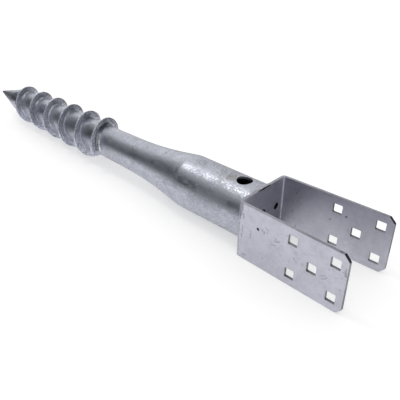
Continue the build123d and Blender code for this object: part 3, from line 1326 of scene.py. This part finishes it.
# %% [markdown]
# ## Camera
#
# The camera stands where the photograph's stood: its place, turn, lens and shift come from fitting
# the bracket's edges and holes. The lens goes with a sensor that is 36 mm wide.

# %% Place the camera
camera_data = bpy.data.cameras.new("photo_camera")
camera = bpy.data.objects.new("photo_camera", camera_data)
bpy.context.scene.collection.objects.link(camera)
camera.location = (0.286012, -0.414271, 0.319289)
camera.rotation_euler = (radians(60.00644), radians(-0.41942), radians(44.11508))
camera_data.sensor_width = 36.0
camera_data.lens = 49.37983
camera_data.shift_x = 0.0322848
camera_data.shift_y = -0.0299728
camera_data.clip_start = 0.01
camera_data.clip_end = 50.0
bpy.context.scene.camera = camera
bpy.context.scene.view_settings.view_transform = "Standard"
print("camera at", tuple(round(v, 3) for v in camera.location))

# %% [markdown]
# ## Studio
#
# Metal shows what stands round it, so its look is made by the room. The screw lies on a wide white
# table. More light could make that white, but would flood the steel too. The table glows a little
# instead, and its glow shows to the camera and in reflections only.


# %% Lay the table
def flat_panel(name, size, location, rotation=(0, 0, 0)):
    """A large flat panel of the studio."""
    deselect_all()
    bpy.ops.mesh.primitive_plane_add(size=1, location=location, rotation=rotation)
    panel = bpy.context.object
    panel.name = panel.data.name = name
    panel.scale = (*size, 1)
    set_in_mesh(panel)
    return panel


def plain(name, colour, glow=0.0):
    """A plain matt stage material. Its glow shows to the camera and in reflections only."""
    material = bpy.data.materials.new(name)
    material.use_nodes = True
    tree = material.node_tree
    tree.nodes.clear()
    matt = shader(tree, "ShaderNodeBsdfDiffuse", {"Color": (*colour, 1)}).outputs[0]
    if glow:
        path = tree.nodes.new("ShaderNodeLightPath").outputs
        seen = maths(tree, "MAXIMUM", path["Is Camera Ray"], path["Is Glossy Ray"])
        seen = maths(tree, "MAXIMUM", seen, path["Is Transmission Ray"])
        light = shader(
            tree, "ShaderNodeEmission",
            {"Color": (1, 1, 1, 1), "Strength": maths(tree, "MULTIPLY", seen, glow)},
        ).outputs[0]
        matt = shader(tree, "ShaderNodeAddShader", {0: matt, 1: light}).outputs[0]
    end = tree.nodes.new("ShaderNodeOutputMaterial")
    tree.links.new(matt, end.inputs["Surface"])
    return material


table_gap = 0.1 * MM
table_z = -bracket_width / 2 - table_gap
table = flat_panel("white_table", (40, 40), (0, 0, table_z))
paint(table, plain("white_table", (0.66, 0.66, 0.66), glow=0.44))
print("table at", round(table_z / MM, 1), "mm")

# %% [markdown]
# Photographers stand dark cards round a shining thing, and its dark bands are their mirror images. Nine
# are used here, six that stand and three that lie flat, and only reflections see them.

# %% Stand the dark cards
black_card = plain("black_card", (0.052, 0.057, 0.069))
quarter_turn = pi / 2
flat_card_z = -0.0325


def dark_card(name, size, location, turn=0.0, flat=False):
    """A dark card that stands along X, turned about Z, or lies flat, and that only reflections see."""
    card = flat_panel(name, size, location, (0 if flat else quarter_turn, 0, turn))
    paint(card, black_card)
    for ray in ("camera", "diffuse", "transmission", "volume_scatter", "shadow"):
        setattr(card, "visible_" + ray, False)


dark_card("near_card", (2.7, 1.22), (-1.35, -1.15, 0.59))
dark_card("far_card", (2.9, 1.33), (0.85, 3.0, 0.635))
dark_card("high_card", (4.1, 4.7), (1.45, 3.0, 3.65))
dark_card("left_card", (2.2, 3.0), (-2.6, -0.84, 1.48), quarter_turn)
dark_card("point_card", (0.38, 0.13), (-0.80, -0.16, 0.033), quarter_turn)
dark_card("right_card", (3.7, 3.6), (3.0, 0.45, 3.7), quarter_turn)
dark_card("flight_card", (0.70, 0.52), (-0.20, 0.337, flat_card_z), flat=True)
dark_card("front_card", (2.7, 0.7), (-1.35, -0.8, flat_card_z), flat=True)
dark_card("cone_card", (0.16, 0.16), (-0.68, -0.01, flat_card_z), flat=True)
print("the dark cards stand")

# %% [markdown]
# One soft lamp, high up beyond the point, makes the highlight on the tube. A second one, beyond the point
# on the far side, lights the flight and the cone. A plain pale sky gives all the other light.

# %% Hang the lamps and the sky
warm_white = (1.0, 0.985, 0.94)
sky_strength = 0.85


def soft_lamp(name, size, power, aim, way, reach):
    """A rectangular lamp that shines on a place from a direction."""
    lamp_data = bpy.data.lights.new(name, "AREA")
    lamp_data.shape = "RECTANGLE"
    lamp_data.size, lamp_data.size_y = size
    lamp_data.energy = power
    lamp_data.color = warm_white
    lamp = bpy.data.objects.new(name, lamp_data)
    bpy.context.scene.collection.objects.link(lamp)
    way = Vector(way).normalized()
    lamp.location = Vector(aim) + way * reach
    lamp.rotation_euler = way.to_track_quat("Z", "Y").to_euler()
    print(name, power, "W")


soft_lamp("soft_lamp", (0.22, 0.30), 2.1, (-0.04, -0.016, 0.028), (-0.51, -0.09, 0.855), 1.3)
soft_lamp("back_lamp", (1.2, 0.8), 1.0, (-0.3, 0, 0), (-0.78, 0.46, 0.42), 1.8)

world = bpy.data.worlds.new("pale_sky")
bpy.context.scene.world = world
world.use_nodes = True
sky = world.node_tree.nodes["Background"].inputs
sky["Color"].default_value = (1.0, 1.0, 1.0, 1)
sky["Strength"].default_value = sky_strength
